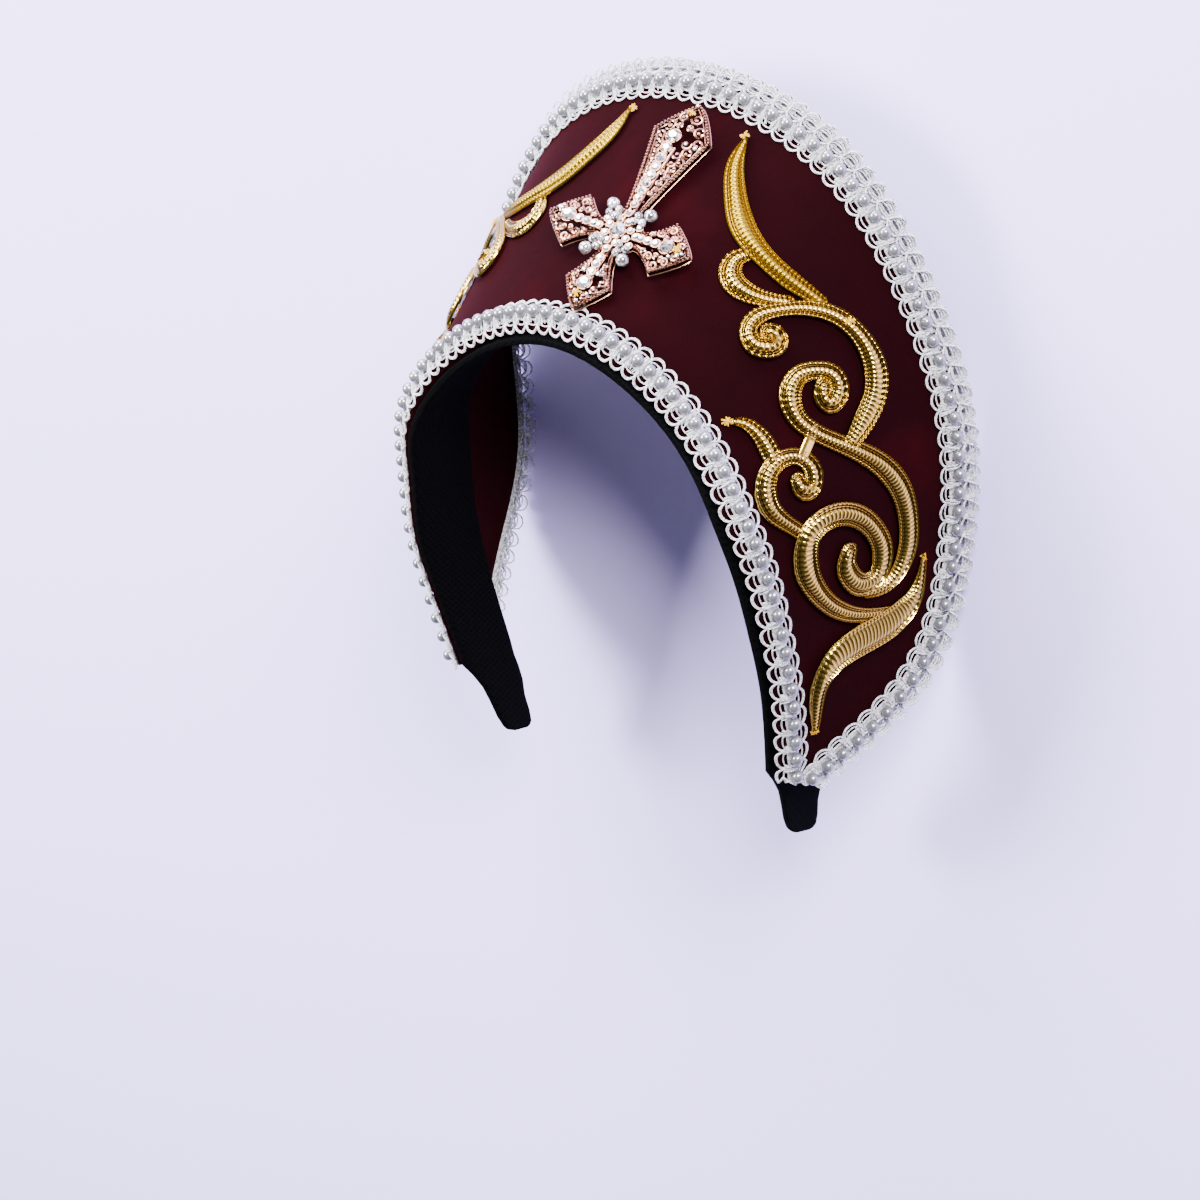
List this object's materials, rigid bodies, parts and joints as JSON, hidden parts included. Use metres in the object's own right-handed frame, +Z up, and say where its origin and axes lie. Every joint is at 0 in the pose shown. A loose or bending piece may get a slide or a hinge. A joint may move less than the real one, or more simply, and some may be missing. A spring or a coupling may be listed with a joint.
{
  "type": "french hood headpiece",
  "caption": "Stiff velvet crescent headpiece edged with pearl-set gimp, with gilt scroll appliques and a cross brooch at the crown.",
  "frame": {"origin": "middle of the bounding box in plan, on the surface that the hood's back rim rests on", "axes": "+Z up from the surface, out of the hood's decorated front; +Y towards the crown of the crescent, -Y towards its two tips; +X to the wearer's left"},
  "size_m": [0.1932, 0.249, 0.1109],
  "materials": {
    "velvet": "short dark wine pile",
    "black_cloth": "matt plain weave",
    "white_thread": "satin cord and fine thread",
    "pearl": "pearlescent gloss",
    "gilt": "gilt relief, satin with bright edges",
    "rose_gold": "polished filigree set with clear stones"
  },
  "bodies": {
    "root": {"crescent": "velvet", "headband": "black_cloth", "inner_lace": "white_thread", "outer_lace": "white_thread", "rim_lace": "white_thread", "inner_pearls": "pearl", "outer_pearls": "pearl", "rim_pearls": "pearl", "applique_left": "gilt", "applique_right": "gilt", "brooch": "rose_gold"}
  },
  "joints": []
}
